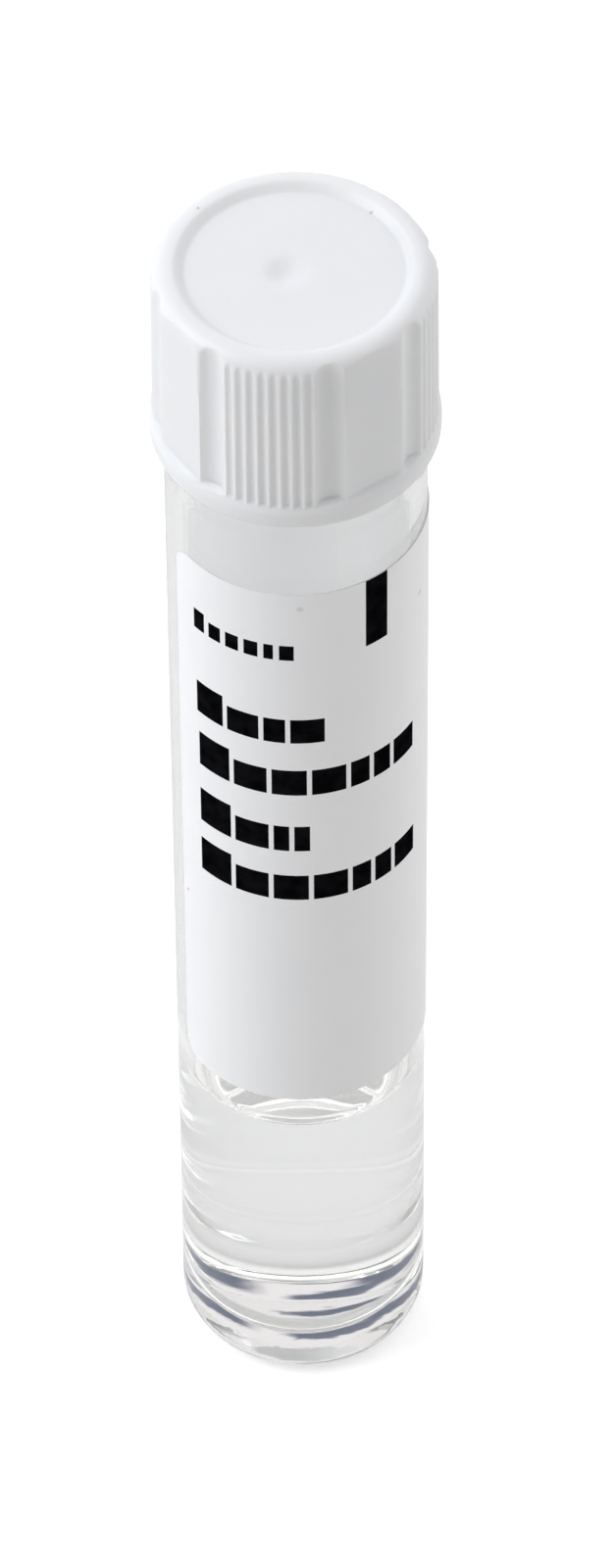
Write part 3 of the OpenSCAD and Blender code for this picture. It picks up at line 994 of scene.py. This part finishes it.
# %% [markdown]
# ## Floor, light and surroundings
# The cuvette stands on a plain pale floor under soft studio light: one large soft lamp
# high on the left, a weak one on the right, and an even room. Clear glass shows what is
# round it more than what falls on it. So for glass and gloss the room is white with dark
# screens behind the object, one on each side and one above, which draw the dark patches
# that give a clear foot its sparkle. The light that the foot gathers on the floor under
# it, in a ring under its round corner, is painted light: a glow on the floor that only
# rays through glass or off gloss see. For the light that falls on matt things the room
# is dimmer at the front. What the camera sees directly is plain white.

# %% Floor material
CAMERA_GLOW, THROUGH_GLOW = 0.5, 0.045
# painted light on the floor under the foot: a disc and a ring that stand in for the light it
# gathers
DISC_GLOW, RING_GLOW = 0.30, 0.6
DISC_ENDS = (0.0052, 0.0060)  # metres from the axis, as are the next two
RING_STARTS = (0.0054, 0.0062)
RING_ENDS = (0.0070, 0.0080)


def ray_kinds(tree):
    """Two masks: rays from the camera, and rays off gloss or through glass."""
    path = tree.nodes.new("ShaderNodeLightPath")
    through = math_node(tree, "MAXIMUM", path.outputs["Is Glossy Ray"],
                        path.outputs["Is Transmission Ray"])
    return path.outputs["Is Camera Ray"], through


def gathered_light(tree):
    """Painted light on the floor under a clear foot, standing in for what the foot gathers
    there: a bright ring under its rounded corner, and a weaker disc inside that ring."""
    reach = vector_node(tree, "LENGTH", place(tree))
    disc = eased(tree, reach, *DISC_ENDS, DISC_GLOW, 0.0)
    ring = math_node(tree, "MULTIPLY", eased(tree, reach, *RING_STARTS),
                     eased(tree, reach, *RING_ENDS, RING_GLOW, 0.0))
    return math_node(tree, "ADD", disc, ring)


def seen_plainly(tree):
    """How much the floor glows for a ray: evenly to the camera, faintly and with the
    painted ring and disc of gathered light to glass and gloss, and not at all where it
    only lights something."""
    camera_ray, through = ray_kinds(tree)
    level = math_node(tree, "ADD", gathered_light(tree), THROUGH_GLOW)
    return math_node(tree, "MAXIMUM", math_node(tree, "MULTIPLY", camera_ray, CAMERA_GLOW),
                     math_node(tree, "MULTIPLY", through, level))


def make_floor_material():
    """Pale matt card that also glows a little where it is looked at, up to white."""
    material, tree, shader = start_material("pale_floor", (0.81, 0.80, 0.78), 0.9,
                                            [("Emission Strength", 1.0)])
    weave = use_group(tree, UNEVEN, Scale=40.0, Detail=3.0)
    feed(shader, "Base Color", tinted(tree, weave["Tint"], (0.80, 0.79, 0.765),
                                      (0.82, 0.81, 0.785)))
    feed(shader, "Emission Color", grey(tree, seen_plainly(tree)))
    return material


# %% Floor
HALF = 2.0  # metres
floor_mesh = bpy.data.meshes.new("studio_floor")
floor_mesh.from_pydata([(-HALF, -HALF, 0), (HALF, -HALF, 0), (HALF, HALF, 0), (-HALF, HALF, 0)],
                       [], [(0, 1, 2, 3)])
floor_mesh.materials.append(make_floor_material())
floor = new_object("studio_floor", floor_mesh)

# %% Room
ROOM_EVEN, ROOM_DIM = (0.82, 0.83, 0.86), (0.165, 0.160, 0.150)  # for matt things
ROOM_WHITE, ROOM_DARK = (0.90, 0.87, 0.88), (0.10, 0.12, 0.19)  # for glass and gloss
SIDE_STEP = (0.10, 0.24)  # the screens' edges, as parts of a direction of length 1
LOW_STEP, HIGH_STEP, BACK_STEP = (0.15, 0.30), (0.74, 0.82), (-0.3, 0.0)
TOP_SCREEN, TOP_EDGE = (-0.12, 0.60, 0.80), (0.978, 0.992)
DIM_FRONT, DIM_EDGE = (0.25, -1.0, 0.35), (0.6, 0.85)


def dark_wings(tree, toward):
    """Two dark screens behind the object, left and right, well clear of straight ahead:
    a product of eased steps in the direction's own three parts."""
    part = tree.nodes.new("ShaderNodeSeparateXYZ")
    tree.links.new(toward, part.inputs[0])
    sideways = eased(tree, math_node(tree, "ABSOLUTE", part.outputs["X"]), *SIDE_STEP)
    above = eased(tree, part.outputs["Z"], *LOW_STEP)
    below = eased(tree, part.outputs["Z"], *HIGH_STEP, 1.0, 0.0)
    behind = eased(tree, part.outputs["Y"], *BACK_STEP)
    return math_node(tree, "MULTIPLY", math_node(tree, "MULTIPLY", sideways, above),
                     math_node(tree, "MULTIPLY", below, behind))


def round_patch(tree, toward, direction, start, full):
    """A round patch about a direction: eased over the cosine of the angle to it."""
    cosine = vector_node(tree, "DOT_PRODUCT", toward, Vector(direction).normalized())
    return eased(tree, cosine, start, full)


def make_room():
    """A white room with dark screens for glass and gloss, an even one with a dim front
    for matt things, and plain white for the camera."""
    world = bpy.data.worlds.new("studio_room")
    world.use_nodes = True
    tree = world.node_tree
    background = tree.nodes["Background"]
    toward = tree.nodes.new("ShaderNodeTexCoord").outputs["Generated"]
    dark = math_node(tree, "MAXIMUM", dark_wings(tree, toward),
                     round_patch(tree, toward, TOP_SCREEN, *TOP_EDGE))
    dim_front = round_patch(tree, toward, DIM_FRONT, *DIM_EDGE)
    camera_ray, through = ray_kinds(tree)
    room = tinted(tree, through, tinted(tree, dim_front, ROOM_EVEN, ROOM_DIM),
                  tinted(tree, dark, ROOM_WHITE, ROOM_DARK))
    tree.links.new(tinted(tree, camera_ray, room, (1.0, 1.0, 1.0)),
                   background.inputs["Color"])
    background.inputs["Strength"].default_value = 1.0
    bpy.context.scene.world = world


make_room()

# %% Lamps
LAMP_AIM = (0, 0, 0.05)  # metres


def soft_lamp(name, place_m, size_m, power, colour=(1.0, 1.0, 1.0)):
    """A square soft lamp at a place, turned to the tube, with its power in watts."""
    lamp = bpy.data.lights.new(name, "AREA")
    lamp.size = size_m
    lamp.energy = power
    lamp.color = colour
    holder = new_object(name, lamp)
    holder.location = place_m
    aim = Vector(LAMP_AIM) - Vector(place_m)
    holder.rotation_euler = aim.to_track_quat("-Z", "Y").to_euler()
    print(name, power, "W")


soft_lamp("lamp_left_high", (-0.75, -0.10, 0.75), 0.6, 4.6, (0.91, 0.94, 1.0))
soft_lamp("lamp_right_weak", (0.9, 0.25, 0.35), 0.5, 1.0)
bpy.context.scene.view_settings.view_transform = "Standard"
